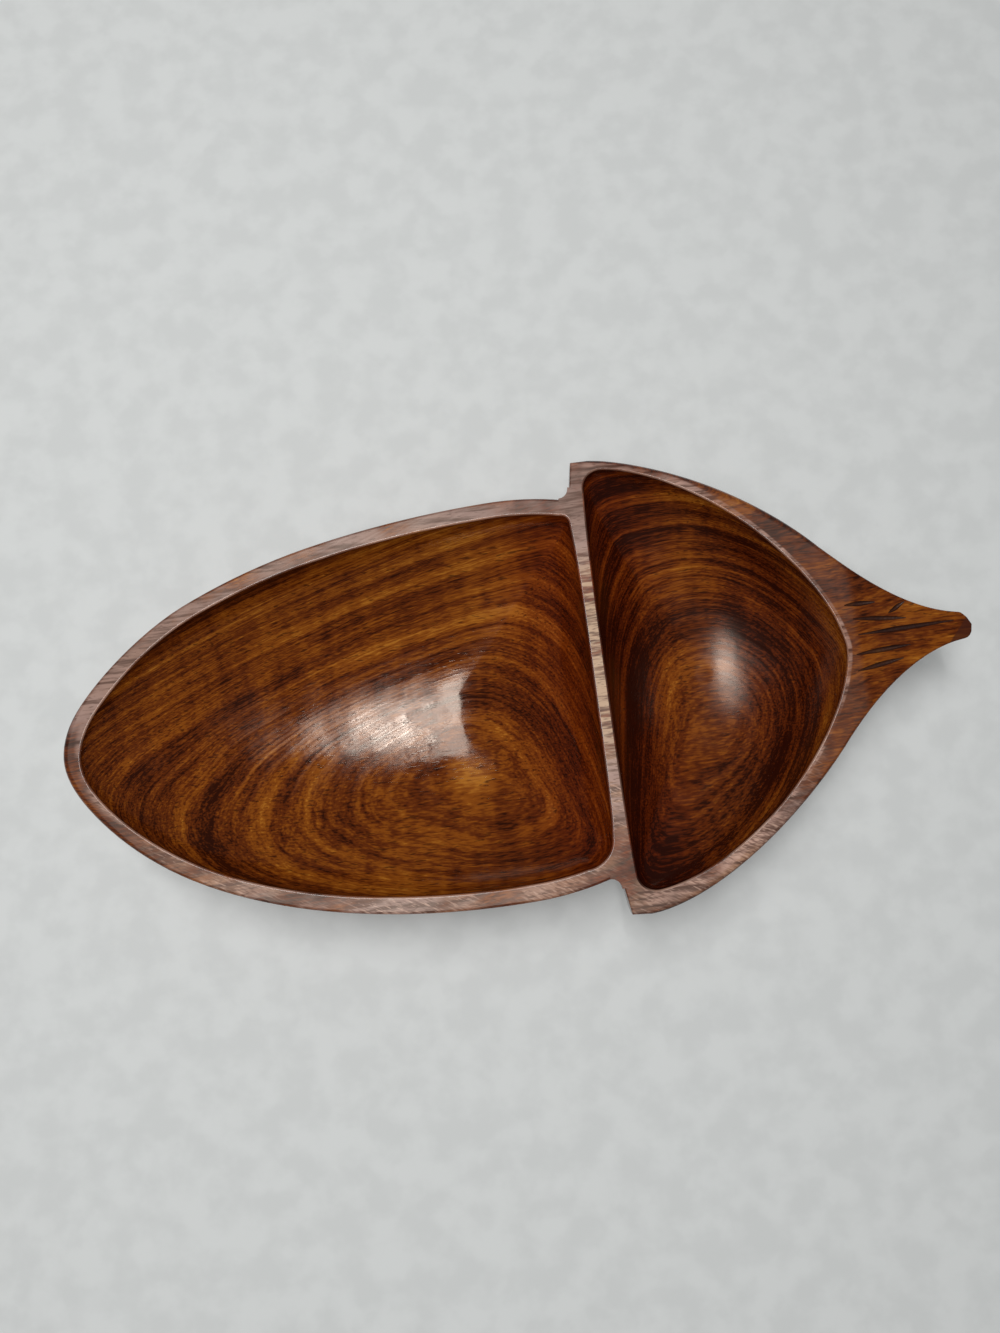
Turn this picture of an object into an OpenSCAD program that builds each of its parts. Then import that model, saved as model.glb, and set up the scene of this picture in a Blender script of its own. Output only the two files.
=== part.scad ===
// Acorn-shaped serving bowl with two hollows, carved from one block of wood.
// The nut lies towards -X, the cap and its stem towards +X. The flat base is at z = 0.
// The block is drawn as a whole and cut at three flat planes into four named regions.

/* [Height] */
// Height of the rim over the surface that the bowl rests on
bowl_h = 54; // [48:1:64]
// Thickness of the wood under the lowest place of the nut's hollow
nut_floor_h = 11; // [7:0.5:18]
// Thickness of the wood under the lowest place of the cap's hollow
cap_floor_h = 13; // [7:0.5:20]

/* [Nut] */
// Length of the nut, from its tip to the shoulder
nut_l = 230.5; // [215:0.5:245]
// Width of the nut at its widest place
nut_w = 174; // [160:1:186]
// Distance from the tip to that widest place
nut_belly_l = 194; // [175:1:204]
// Length over which the nut's oval would close behind its widest place, inside the cap
nut_tail_l = 109; // [95:1:130]
// How far the nut leans towards -Y
nut_lean = 4.2; // [0:0.1:7]
// Width of the nut's rim
nut_rim_w = 7.3; // [6:0.1:9]
// Radius that rounds the outer edge of the nut's rim
nut_edge_r = 1.5; // [1:0.5:3]
// Distance from the tip to the lowest place of the nut's hollow
nut_low_l = 162; // [140:1:170]
// Corner radius of the nut's hollow, at the divider on the +Y side
nut_far_corner_r = 4; // [2:0.5:12]
// Corner radius of the nut's hollow, at the divider on the -Y side
nut_near_corner_r = 12; // [2:0.5:13]
// Radius of the hollow corner outside, where the nut meets the shoulder
notch_r = 4.5; // [3:0.5:5]

/* [Divider] */
// Thickness of the divider at the rim
divider_w = 5.8; // [4:0.1:8]
// How much each face of the divider flares towards its two ends
divider_flare = 1.2; // [0:0.1:2.5]
// How far the divider's block runs past the wall on each side, where the wall thickens downwards
divider_foot = 5.5; // [5:0.5:7]

/* [Cap] */
// Width of the cap at its widest place
cap_w = 199.2; // [190:0.1:210]
// How far each corner of the shoulder lies inside the cap's widest place
shoulder_inset = 0.8; // [0:0.1:4]
// How far those corners lie behind the shoulder's foot
shoulder_sweep = 2.8; // [0:0.1:4]
// Distance from the shoulder to the cap's widest place
cap_widest_l = 11; // [7:1:16]
// Length over which the cap's bowl closes behind its widest place, under the stem
cap_round_l = 118.5; // [112:0.5:124]
// Length of the cap's hollow, from the divider to its far end
cap_hollow_l = 105.2; // [96:0.1:107]
// Width of the cap's rim at its two sides
cap_rim_w = 7.6; // [5.5:0.1:10]
// How far the cap's hollow lies off the middle line, towards +Y
cap_hollow_shift = 2; // [0:0.1:3]
// Corner radius of the cap's hollow at the divider
cap_corner_r = 8; // [4:0.1:10]
// Distance from the divider to the lowest place of the cap's hollow
cap_low_l = 50; // [40:1:56]
// Height over which the outer edge of the cap's rim rolls down
cap_edge_h = 5; // [2:0.5:7]
// Width over which the outer edge of the cap's rim rolls out
cap_edge_w = 4; // [2:0.5:5]

/* [Stem] */
// Distance from the shoulder to the tip of the stem
tip_l = 169.5; // [162:0.5:176]
// Length over which the cap's outline flares into the stem
stem_l = 63; // [54:1:66]
// Thickness of the rim between the cap's hollow and the stem's own region
stem_rim_w = 8; // [6:0.5:10]
// Width of the stem just before its rounded end
stem_tip_w = 11.5; // [7:0.5:14]
// Length of the rounded end of the stem
stem_nose_l = 4; // [2:0.5:6]
// Thickness of the stem at its tip
stem_h = 11; // [8:0.5:14]
// Height over which the stem's underside curves down into the cap's wall
stem_keel_h = 18; // [12:1:22]
// How far the stem's upper face falls towards its tip
stem_fall = 6; // [1:0.5:8]
// How far the stem leans towards +Y
stem_lean = 5.9; // [0:0.1:7]
// Width of the carved veins on the stem
vein_w = 2.4; // [1.5:0.1:3]
// Depth of the carved veins on the stem
vein_depth = 0.9; // [0.5:0.1:1]

/* [Hidden] */
// Names of the regions, each of them one solid

// Softening of the edge between each hollow and the rim
lip_r = 0.6;
// Largest roll on the stem's edge, as a share of its width before the rounded end
edge_limit_share = 0.4;
// Overrun of each cut past the faces that it opens
overrun = 4;
// How deep the fillets of the notch are let into the nut and the cap
fillet_seat = 4;

// Size of the flat base, as a share of the outline at the rim
base_share = 0.4;
// How round the outer walls are
wall_power = 1.5;
wall_step_power = 1.5;
// How round the walls of the hollows are, downwards and across
hollow_down_power = 1.45;
hollow_across_power = 2;
// How soon the corners of a hollow round off on the way down
hollow_round_power = 2;
// Size of the level spot at the bottom of each hollow, as a share of its mouth
floor_share = 0.06;
// Half width of the ovals that the hollows round into, as a share of half their mouths' width
nut_round_share = 0.86;
cap_round_share = 0.7;
// How much the nut narrows towards its tip, against a plain oval
tip_pinch_share = 0.18;
tip_pinch_power = 8;
// Roundness of the cap's outline and of its hollow: 2 is an ellipse and 1 is a straight-sided wedge
cap_power = 1.5;
cap_hollow_power = 1.56;
// How fast the stem narrows, how its points crowd towards the tip, and how its underside curves
stem_flare_power = 1.85;
stem_spread_power = 1.3;
keel_power = 3;
// Where the stem's lean starts and ends, as shares of the length from shoulder to tip
lean_start_share = 0.1;
lean_end_share = 0.72;
// How much of the nut's length, from the shoulder, its lean takes to build up
nut_lean_share = 0.65;

// Steps round the nut, along each side of the cap and round the stem, then up a wall and up the
// stem's underside, and last round an edge and round a corner
outline_steps = 56;
side_steps = 18;
nose_steps = 28;
wall_steps = 12;
keel_steps = 8;
edge_steps = 3;
corner_steps = 5;

// Carved veins: start along and across the stem, then end along and across.
// Along is a share of the way from the cap's hollow to the tip, across of half the stem's root.
vein_shares = [
    [0.03, 0.34, 0.27, 0.34],
    [0.08, 0.19, 0.49, 0.14],
    [0.10, 0.02, 0.86, 0.06],
    [0.06, -0.18, 0.49, -0.14],
    [0.05, -0.35, 0.42, -0.27],
    [0.36, 0.21, 0.50, 0.31],
];
// Size of a vein's pointed ends, as a share of its width
vein_end_share = 0.2;

// Places along the bowl, measured from the nut's tip
shoulder_x = nut_l;
divider_x = shoulder_x + divider_w;
cap_widest_x = shoulder_x + cap_widest_l;
hollow_end_x = divider_x + cap_hollow_l;
stem_x = hollow_end_x + stem_rim_w;
tip_x = shoulder_x + tip_l;
join_x = tip_x - stem_l;
keel_z = bowl_h - stem_fall - stem_h;
nut_depth = bowl_h - nut_floor_h;
cap_depth = bowl_h - cap_floor_h;
shoulder_y = cap_w / 2 - shoulder_inset;
cap_hollow_y = cap_w / 2 - cap_rim_w;
nut_low = [nut_low_l, middle(nut_low_l)];
cap_low = [divider_x + cap_low_l, cap_hollow_shift];
belly = [nut_belly_l, 0];

// Reach of the oval that each hollow rounds into: towards the nut, towards the stem, to each side
nut_side_reach = (nut_w / 2 - nut_rim_w) * nut_round_share;
nut_reach = [nut_low_l - nut_rim_w, shoulder_x - nut_low_l, nut_side_reach];
cap_reach = [cap_low_l, cap_hollow_l - cap_low_l, cap_hollow_y * cap_round_share];

// Middle line of the bowl: the nut leans to one side of it and the stem to the other
function smooth(t) = let (c = min(max(t, 0), 1)) c * c * (3 - 2 * c);
function stem_side_step(x) =
    let (along = (x - shoulder_x) / tip_l)
    stem_lean * smooth((along - lean_start_share) / (lean_end_share - lean_start_share));
function nut_side_step(x) =
    nut_lean * sin(90 * min(1, max(0, shoulder_x - x) / (nut_l * nut_lean_share)));
function middle(x) = stem_side_step(x) - nut_side_step(x);
function on_middle(points) = [for (p = points) [p.x, p.y + middle(p.x)]];

// Power of a cosine or sine that keeps its sign, for rounded outlines
function signed_power(v, p) = sign(v) * pow(abs(v), p);
function arc(centre, r, from, to) =
    [for (k = [0:corner_steps])
        let (a = from + (to - from) * k / corner_steps)
        centre + r * [cos(a), sin(a)]];

// Oval of the nut, drawn in by a distance, at one angle round its widest place
function nut_oval(a, drawn_in) =
    let (reach = (cos(a) < 0 ? nut_belly_l : nut_tail_l) - drawn_in)
    let (pinch = cos(a) < 0 ? tip_pinch_share * pow(cos(a), tip_pinch_power) : 0)
    belly + [reach * cos(a), (nut_w / 2 - drawn_in) * sin(a) * (1 - pinch)];

function nut_outline() =
    on_middle([for (k = [0:outline_steps - 1]) nut_oval(360 * k / outline_steps, 0)]);

// Mouth of the nut's hollow: the oval inside the rim, closed by the divider between two rounded corners
function corner_angle(r) =
    acos((shoulder_x - divider_flare - r - nut_belly_l) / (nut_tail_l - nut_rim_w));
function corner_centre(r, side) =
    let (on_oval = nut_oval(side * corner_angle(r), nut_rim_w))
    on_oval - [0, side * r];
function flared_edge(x, low, high, towards) =
    [for (k = [1:corner_steps * 2 - 1])
        let (y = low + (high - low) * k / (corner_steps * 2))
        [x + towards * divider_flare * pow(abs(y) / max(abs(low), abs(high)), 4), y]];
function nut_mouth() =
    let (near = corner_centre(nut_near_corner_r, -1))
    let (far = corner_centre(nut_far_corner_r, 1))
    let (start = corner_angle(nut_far_corner_r))
    let (end = 360 - corner_angle(nut_near_corner_r))
    on_middle(concat(
        arc(near, nut_near_corner_r, -90, 0),
        flared_edge(shoulder_x, near.y, far.y, -1),
        arc(far, nut_far_corner_r, 0, 90),
        [for (k = [1:outline_steps - 1])
            nut_oval(start + (end - start) * k / outline_steps, nut_rim_w)]
    ));

// Point on a rounded outline that bulges towards the stem, at one angle from -90 to 90
function bulge(centre, reach, half_w, power, a) =
    centre + [reach * signed_power(cos(a), 2 / power), half_w * signed_power(sin(a), 2 / power)];

function nut_half_at(x, size) =
    let (t = (x - nut_belly_l) / (nut_tail_l * size))
    nut_w / 2 * size * sqrt(max(0, 1 - t * t));
shoulder_foot_y = nut_half_at(shoulder_x, 1);

// Outline of the cap's bowl, and of the stem where it takes over from the bowl
function cap_side(a) = bulge([cap_widest_x, 0], cap_round_l, cap_w / 2, cap_power, a);
join_a = acos(pow((join_x - cap_widest_x) / cap_round_l, cap_power / 2));
join_y = cap_side(join_a).y;
function stem_half_w(x) =
    let (along = (x - join_x) / stem_l)
    let (end = max(0, (x - tip_x + stem_nose_l) / stem_nose_l))
    (stem_tip_w / 2 + (join_y - stem_tip_w / 2) * pow(max(0, 1 - along), stem_flare_power))
        * sqrt(max(0, 1 - end * end));
function stem_side(t) =
    let (x = join_x + stem_l * (1 - pow(abs(t), stem_spread_power)))
    [x, sign(t) * stem_half_w(x)];

// One ring round the cap. Its size is a share of the rim's outline, and stem says how much of the
// stem stands out there.
function cap_ring(size, stem) =
    let (centre = [shoulder_x, 0])
    let (side_a = 90 - join_a)
    on_middle(concat(
        [for (k = [0:side_steps - 1])
            about(centre, cap_side(side_a * k / side_steps - 90), size)],
        [for (k = [0:nose_steps])
            let (t = 2 * k / nose_steps - 1)
            let (bowl = about(centre, cap_side(t * join_a), size))
            let (tail = about(centre, stem_side(t), size + (1 - size) * (1 - abs(t))))
            bowl + stem * (tail - bowl)],
        [for (k = [1:side_steps])
            about(centre, cap_side(join_a + side_a * k / side_steps), size)],
        [for (p = [
            [shoulder_sweep, shoulder_y],
            [0, shoulder_foot_y],
            [0, -shoulder_foot_y],
            [shoulder_sweep, -shoulder_y],
        ]) about(centre, centre + p, size)]
    ));

function cap_mouth() =
    let (widest_x = divider_x + divider_flare + cap_corner_r)
    let (corner_y = cap_hollow_y - cap_corner_r)
    let (mouth = concat(
        [for (k = [0:outline_steps])
            bulge([widest_x, 0], hollow_end_x - widest_x, cap_hollow_y, cap_hollow_power,
                180 * k / outline_steps - 90)],
        arc([widest_x, corner_y], cap_corner_r, 90, 180),
        flared_edge(divider_x, corner_y, -corner_y, 1),
        arc([widest_x, -corner_y], cap_corner_r, 180, 270)
    ))
    [for (k = [0:len(mouth) - 2]) mouth[k] + [0, cap_hollow_shift]];

// Rings of a loft: an outline grown sideways, sized about a centre, and lifted to a height
function neighbours(points, i) =
    points[(i + 1) % len(points)] - points[(i + len(points) - 1) % len(points)];
function grown(points, d) =
    [for (i = [0:len(points) - 1])
        let (t = neighbours(points, i))
        points[i] + d * [t.y, -t.x] / norm(t)];
function about(centre, p, size) = centre + size * (p - centre);
function sized(points, centre, size) = [for (p = points) about(centre, p, size)];
function lifted(points, z) = [for (p = points) [p.x, p.y, z]];

// Size of the outer walls at a height, as a share of the outline at the rim
function wall_size(t) = base_share + (1 - base_share) * pow(1 - pow(1 - t, wall_power), 1 / wall_power);
function wall_step(k) = pow(k / wall_steps, wall_step_power);
function rolled_edge(outline, edge_w, edge_h) =
    [for (k = [1:edge_steps])
        let (a = 90 * k / edge_steps)
        lifted(grown(outline, -edge_w * (1 - cos(a))), bowl_h - edge_h * (1 - sin(a)))];

module loft(rings) {
    n = len(rings[0]);
    sides = [for (k = [0:len(rings) - 2], i = [0:n - 1])
        let (a = k * n + i, b = k * n + (i + 1) % n)
        each [[a, a + n, b + n], [a, b + n, b]]];
    bottom = [for (i = [0:n - 1]) i];
    top = [for (i = [0:n - 1]) len(rings) * n - 1 - i];
    polyhedron([for (r = rings) each r], concat(sides, [bottom, top]), convexity = 6);
}

// The nut's body, whose oval would close inside the cap
module nut_body() {
    outline = nut_outline();
    wall_h = bowl_h - nut_edge_r;
    loft(concat(
        [for (k = [0:wall_steps])
            let (t = wall_step(k))
            lifted(sized(outline, belly, wall_size(t)), wall_h * t)],
        rolled_edge(outline, nut_edge_r, nut_edge_r)
    ));
}

// The cap's body, whose wall runs out into the stem near the rim
module cap_body() {
    wall_h = bowl_h - cap_edge_h;
    edge_w = min(cap_edge_w, stem_tip_w * edge_limit_share);
    keel_from = keel_z - stem_keel_h;
    function wall_ring(z, stem) = lifted(cap_ring(wall_size(z / wall_h), stem), z);
    loft(concat(
        [for (k = [0:wall_steps / 2 - 1])
            wall_ring(keel_from * pow(2 * k / wall_steps, wall_step_power), 0)],
        [for (k = [0:keel_steps])
            let (t = k / keel_steps)
            wall_ring(keel_from + stem_keel_h * t, pow(t, keel_power))],
        [for (k = [1:edge_steps]) wall_ring(keel_z + (wall_h - keel_z) * k / edge_steps, 1)],
        rolled_edge(cap_ring(1, 1), edge_w, cap_edge_h)
    ));
}

// An oval with its own reach each way from a centre, at the angle where another point lies
function oval_point(p, centre, reach) =
    let (d = p - centre)
    let (long = d.x < 0 ? reach[0] : reach[1])
    centre + d / norm([d.x / long, d.y / reach[2]]);

// The space in a hollow, from its level spot up past the rim, growing rounder on the way down
module hollow(mouth, centre, reach, depth) {
    floor_turn = acos(floor_share);
    loft(concat(
        [for (k = [0:wall_steps])
            let (a = floor_turn * (1 - k / wall_steps))
            let (down = pow(sin(a) / sin(floor_turn), 2 / hollow_down_power))
            let (round = pow(down, hollow_round_power))
            let (outline = [for (p = mouth) p + round * (oval_point(p, centre, reach) - p)])
            let (across = pow(cos(a), 2 / hollow_across_power))
            lifted(sized(outline, centre, across), bowl_h - lip_r - (depth - lip_r) * down)],
        [
            lifted(grown(mouth, lip_r), bowl_h),
            lifted(grown(mouth, lip_r), bowl_h + overrun),
        ]
    ));
}

// Rounded hollow corner between the nut's side and the shoulder, following both down to the base
module notch_fillet(side) {
    start_x = shoulder_x - notch_r;
    loft([for (k = [0:wall_steps])
        let (foot_y = nut_half_at(start_x, wall_size(wall_step(k))))
        let (section = concat(
            arc([start_x, foot_y + notch_r], notch_r, 0, -90),
            [
                [start_x, foot_y - fillet_seat],
                [shoulder_x + fillet_seat, foot_y - fillet_seat],
                [shoulder_x + fillet_seat, foot_y + notch_r],
            ]
        ))
        let (last = len(section) - 1)
        let (placed = [for (i = [0:last])
            let (p = section[side > 0 ? i : last - i])
            [p.x, side * p.y]])
        lifted(placed, bowl_h * wall_step(k))
    ]);
}

// Everything over the stem's sloping upper face
tail_l = tip_x - hollow_end_x;
module over_stem() {
    reach = tail_l + overrun;
    translate([hollow_end_x, cap_w, bowl_h])
        rotate([90, 0, 0])
            linear_extrude(2 * cap_w)
                polygon([[0, 0], [reach, -stem_fall * reach / tail_l], [reach, overrun], [0, overrun]]);
}

// One vein: two pointed halves that meet at its widest place
module vein(shares) {
    ball_r = vein_w / 2;
    function spot(t) =
        let (along = shares[0] + (shares[2] - shares[0]) * t)
        let (x = hollow_end_x + tail_l * along)
        let (y = middle(x) + join_y * (shares[1] + (shares[3] - shares[1]) * t))
        [x, y, bowl_h - stem_fall * along];
    module ball(t, size)
        translate(spot(t) + [0, 0, (ball_r - vein_depth) * size])
            sphere(ball_r * size, $fn = 16);
    for (end = [0, 1])
        hull() {
            ball(end, vein_end_share);
            ball(1 / 2, 1);
        }
}

// The whole carved block, with its middle over the origin
module carved_block() {
    translate([-tip_x / 2, 0, 0])
        difference() {
            union() {
                nut_body();
                cap_body();
                for (side = [-1, 1]) notch_fillet(side);
            }
            hollow(nut_mouth(), nut_low, nut_reach, nut_depth);
            hollow(cap_mouth(), cap_low, cap_reach, cap_depth);
            over_stem();
            for (shares = vein_shares) vein(shares);
        }
}

// The part of the block between two planes across its length
module region(from_x, to_x) {
    intersection() {
        carved_block();
        translate([from_x - tip_x / 2, -cap_w, -overrun])
            cube([to_x - from_x, 2 * cap_w, bowl_h + 2 * overrun]);
    }
}

divider_from = shoulder_x - divider_foot;
divider_to = divider_x + divider_foot;

module nut_bowl() {
    color("sienna") region(-overrun, divider_from);
}

module divider() {
    color("rosybrown") region(divider_from, divider_to);
}

module cap_bowl() {
    color("saddlebrown") region(divider_to, stem_x);
}

module stem() {
    color("peru") region(stem_x, tip_x + overrun);
}

nut_bowl();
divider();
cap_bowl();
stem();
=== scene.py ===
"""Acorn-shaped serving bowl with two hollows, carved from one block of dark, figured wood.

Metres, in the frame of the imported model: the nut lies towards -X, the cap and its stem towards
+X, and the flat base is at z = 0. Places along the bowl are measured from the nut's tip, and
half of the whole length is taken off at the end.
"""

import math

import bmesh
import bpy
from bpy.props import FloatProperty, FloatVectorProperty, PointerProperty
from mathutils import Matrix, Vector


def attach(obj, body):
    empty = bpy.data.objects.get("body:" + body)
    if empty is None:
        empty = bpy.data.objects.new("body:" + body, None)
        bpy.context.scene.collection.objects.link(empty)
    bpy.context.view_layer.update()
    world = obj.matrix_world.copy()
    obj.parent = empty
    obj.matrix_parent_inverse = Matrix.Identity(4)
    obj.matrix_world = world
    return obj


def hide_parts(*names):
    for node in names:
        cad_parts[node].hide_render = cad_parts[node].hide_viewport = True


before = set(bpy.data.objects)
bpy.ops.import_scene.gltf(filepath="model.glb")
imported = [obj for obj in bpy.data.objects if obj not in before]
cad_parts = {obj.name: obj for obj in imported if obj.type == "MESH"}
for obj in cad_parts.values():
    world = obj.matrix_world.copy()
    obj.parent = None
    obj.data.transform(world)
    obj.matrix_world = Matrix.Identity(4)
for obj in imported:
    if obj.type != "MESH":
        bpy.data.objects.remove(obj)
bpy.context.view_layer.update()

bl_info = {
    "name": "Acorn serving bowl",
    "version": (1, 0, 0),
    "blender": (4, 5, 0),
    "location": "View3D > Sidebar > Acorn bowl",
    "description": "Models a divided serving bowl carved from one block of figured wood",
    "category": "Object",
}

MM = 0.001

# Steps round the nut, along each side of the cap and round the stem, then up the walls and up
# the stem's underside, round an edge and round a corner, and last along a vein and round it
OUTLINE_STEPS = 160
SIDE_STEPS = 48
NOSE_STEPS = 64
WALL_STEPS = 36
KEEL_STEPS = 16
EDGE_STEPS = 6
CORNER_STEPS = 10
VEIN_STEPS = 14
VEIN_CORNERS = 14

# Shapes of the curves, the same as in the solids
WALL_POWER = 1.5
WALL_STEP_POWER = 1.5
HOLLOW_DOWN_POWER = 1.45
HOLLOW_ACROSS_POWER = 2
HOLLOW_ROUND_POWER = 2
TIP_PINCH_POWER = 8
CAP_POWER = 1.5
CAP_HOLLOW_POWER = 1.56
STEM_FLARE_POWER = 1.85
STEM_SPREAD_POWER = 1.3
KEEL_POWER = 3
FLARE_POWER = 4

# Shares of named lengths, the same as in the solids
BASE_SHARE = 0.4
FLOOR_SHARE = 0.06
NUT_ROUND_SHARE = 0.86
CAP_ROUND_SHARE = 0.7
LEAN_START_SHARE = 0.1
LEAN_END_SHARE = 0.72
NUT_LEAN_SHARE = 0.65
VEIN_END_SHARE = 0.2

# How far the nut's oval is pinched towards its tip, a little different from the solids: on the
# near side, and on the far side in two steps, each with its share, start and turn. These and
# the next angles are degrees round the nut, from the shoulder by the far side.
NEAR_PINCH_SHARE = 0.23
FAR_PINCHES = ((0.03, 115, 30), (0.128, 135, 29))

# Where the rim's edge is rounded more by wear round the nut's tip, and where the rim is wider
TIP_EDGE_START = 150
TIP_EDGE_END = 222
TIP_EDGE_TURN = 25
TIP_RIM_MIDDLE = 168
TIP_RIM_TURN = 28

# Cuts across the stem where its upper face starts to fall, as shares of its rounded end
FOLD_SHARES = (-1, -0.33, 0.33, 1, 3)

# Faces that meet at less than this angle, in degrees, are shaded as one curve
SMOOTH_ANGLE = 32

# How exact a cut is, and how close corners are merged
CUT_TOLERANCE = MM / 1000
MERGE_DISTANCE = MM / 100

# Carved veins: start along and across the stem, then end along and across
VEIN_SHARES = (
    (0.03, 0.34, 0.27, 0.34),
    (0.08, 0.19, 0.49, 0.14),
    (0.10, 0.02, 0.86, 0.06),
    (0.06, -0.18, 0.49, -0.14),
    (0.05, -0.35, 0.42, -0.27),
    (0.36, 0.21, 0.50, 0.31),
)

# The growth layers: their tilt along and across the bowl, how they bend, how that changes, and
# the waves in them (noise scale, detail and depth)
LAYER_TILT = (-0.127, 0.397)
LAYER_BENDS = (0.28, -1.36, 1.12)
LAYER_TWISTS = (1.1, 5.1, -9.1, 5.5)
LAYER_WAVES = ((17.0, 1.0, 0.0045), (95.0, 2.0, 0.0006))

# Streaks: noise scale along the block, across it and through it, detail, and share in the tone.
# Figures run through the growth layers, and fibres through the height of the block.
FIGURES = {
    "broad bands": ((4.0, 4.0, 80.0), 2.0, 1.15),
    "bands": ((7.0, 7.0, 300.0), 3.0, 1.20),
    "lines": ((14.0, 14.0, 1100.0), 3.0, 0.70),
    "short streaks": ((40.0, 160.0, 1300.0), 2.0, 0.60),
    "speckle": ((190.0, 950.0, 2600.0), 2.0, 0.85),
}
FIBRES = {
    "dashes": ((120.0, 1300.0, 1300.0), 2.0, 0.45),
    "curl": ((190.0, 26.0, 26.0), 1.0, 0.35),
}

# The middle tone, and how much patches, places and pores change the wood
MIDDLE_TONE = 0.5
PATCH_SHARE = 0.55
STEM_LIGHTER = 0.02
END_WALL_DARKER = 0.14
END_WALL_REDDER = 0.6
PORE_DARKNESS = 0.70

# How much the pores, the lines and the curl stand out of the surface
PORE_HEIGHT = -0.15
LINE_HEIGHT = 0.35
CURL_HEIGHT = 0.4

# Marks on the wood: noise scale along the block, across it and through it, and detail
PORES = ((150.0, 1000.0, 1000.0), 2.0)
RIM_MARKS = ((45.0, 520.0, 9.0), 4.0)
RIM_PORES = ((260.0, 1500.0, 9.0), 2.0)
CROSS_MARKS = ((70.0, 620.0, 9.0), 4.0)

# Directions in plan: along and across the scratches, with their scale, and across the facet
SCRATCH_ALONG = (170.0, -98.0)
SCRATCH_ACROSS = (600.0, 1040.0)
FACET_ACROSS = (0.737, -0.676)

# Plain noises: scale and detail
PATCHES = (24.0, 2.0)
RIM_WEAR = (42.0, 3.0)
RIM_GREY = (26.0, 3.0)
SCRATCHES = (1.0, 3.0)
OIL_PATCHES = (30.0, 2.0)
HOLLOW_WAVES = (40.0, 1.0)
HOLLOW_DENTS = (110.0, 2.0)
LIP_HIGHLIGHT_PATCHES = (40.0, 3.0)
LIP_SCUFFS = (700.0, 2.0)
GOUGE_CHIPS = (900.0, 2.0)
FLOOR_SPECKLE = (60.0, 3.0)

# Places in plan, from the middle of the block: the middle of the rings at the nut's low place,
# of the tip's round end, of the divider, and of its paler and its golden part
RING_CENTRE = (-0.021, -0.037)
TIP_CENTRE = (-0.1586, -0.0042)
DIVIDER_X = 0.034
DIVIDER_PALE_Y = 0.006
DIVIDER_GOLDEN_Y = 0.012

# How far under the rim's face its look starts and is full, and how far across the divider's
# face it is full and ends
RIM_DEPTHS = (0.9 * MM, 0.2 * MM)
DIVIDER_FACE_SHARES = (0.42, 0.62)

# Fades: where each starts and ends, then its value before and after where that isn't 0 and 1
FADES = {
    # Tone and tint of the wood
    "pores": (0.58, 0.70),
    "upper side": (0.040, 0.050),
    "stem": (0.105, 0.140),
    "cap side along": (0.0, 0.09, 0.0, 0.16),
    "cap side across": (0.015, 0.060, 1.0, 0.35),
    "divider's foot": (0.034, 0.037),
    # Painted shade on the cap's wall just over the divider
    "painted shade past the divider": (0.042, 0.075, 0.15, 0.0),
    "end wall": (0.078, 0.115),
    "far wall along": (-0.01, 0.03, 0.09, 0.05),
    "far wall across": (0.012, 0.045),
    "nut's tip": (-0.13, -0.06, 0.05, 0.0),
    "cap floor's height": (0.014, 0.032, 0.10, 0.0),
    "cap floor along": (0.045, 0.070),
    "ring": (0.010, 0.040, 0.16, 0.0),
    "dark to brown": (0.12, 0.44),
    "brown to golden": (0.40, 0.74),
    "golden to flame": (0.74, 1.05),
    # Painted shade on the walls either side of the divider
    "painted shade beside the divider": (0.008, 0.058, 1.0, 0.0),
    "gloss of the lines": (-0.2, 0.2, -0.04, 0.05),
    # The rim: its sandpapered colour with a painted sheen, its marks, scratches and pores
    "sanding across": (-0.03, 0.03, -0.012, 0.035),
    "sanding along": (0.082, 0.138, 1.0, 0.10),
    # The painted sheen round the cap's hollow
    "band's width": (0.040, 0.125, 0.068, 0.024),
    "band's start": (0.036, 0.042),
    "band's edge": (0.75, 1.15, 0.95, 0.0),
    # Where the rim's outer half round the nut's tip has no painted sheen
    "bare outer half": (0.0338, 0.0364),
    "bare along": (-0.178, -0.158, 0.95, 0.0),
    "bare across": (0.002, 0.014, 1.0, 0.0),
    "rim wear": (0.36, 0.60, 0.12, 1.0),
    "rim grey": (0.38, 0.62),
    "near side": (-0.05, 0.0, 1.0, 0.0),
    "far side": (0.0, 0.05, 0.0, 0.8),
    "warm stretch's start": (-0.02, 0.012),
    "warm stretch's end": (0.024, 0.034, 0.6, 0.0),
    "rim marks": (0.34, 0.58),
    # Scratches: the pale ones are painted highlights, the dark ones painted shade
    "lit scratches": (0.52, 0.66, 0.0, 0.7),
    "shaded scratches": (0.34, 0.48, 0.75, 0.0),
    "rim pores": (0.58, 0.68),
    # Divider and stem
    "divider's ends": (0.050, 0.078, 1.0, 0.0),
    "divider's golden part": (0.030, 0.052, 1.0, 0.0),
    "cross marks": (0.38, 0.57),
    # Painted shade on the stem's end facet
    "facet": (0.1392, 0.1400),
    # Gloss
    "satin rim": (0.0, 1.0, 0.135, 0.40),
    "oil patches": (0.35, 0.65, -0.03, 0.05),
    "softer cap": (0.030, 0.040, 0.0, 0.10),
    # Lips and floor
    "lip off the divider": (0.004, 0.010, 0.3, 1.0),
    # Patches of painted highlight on the lips
    "lip highlight patches": (0.34, 0.66, 0.10, 0.75),
    "floor speckle": (0.35, 0.65),
}
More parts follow.
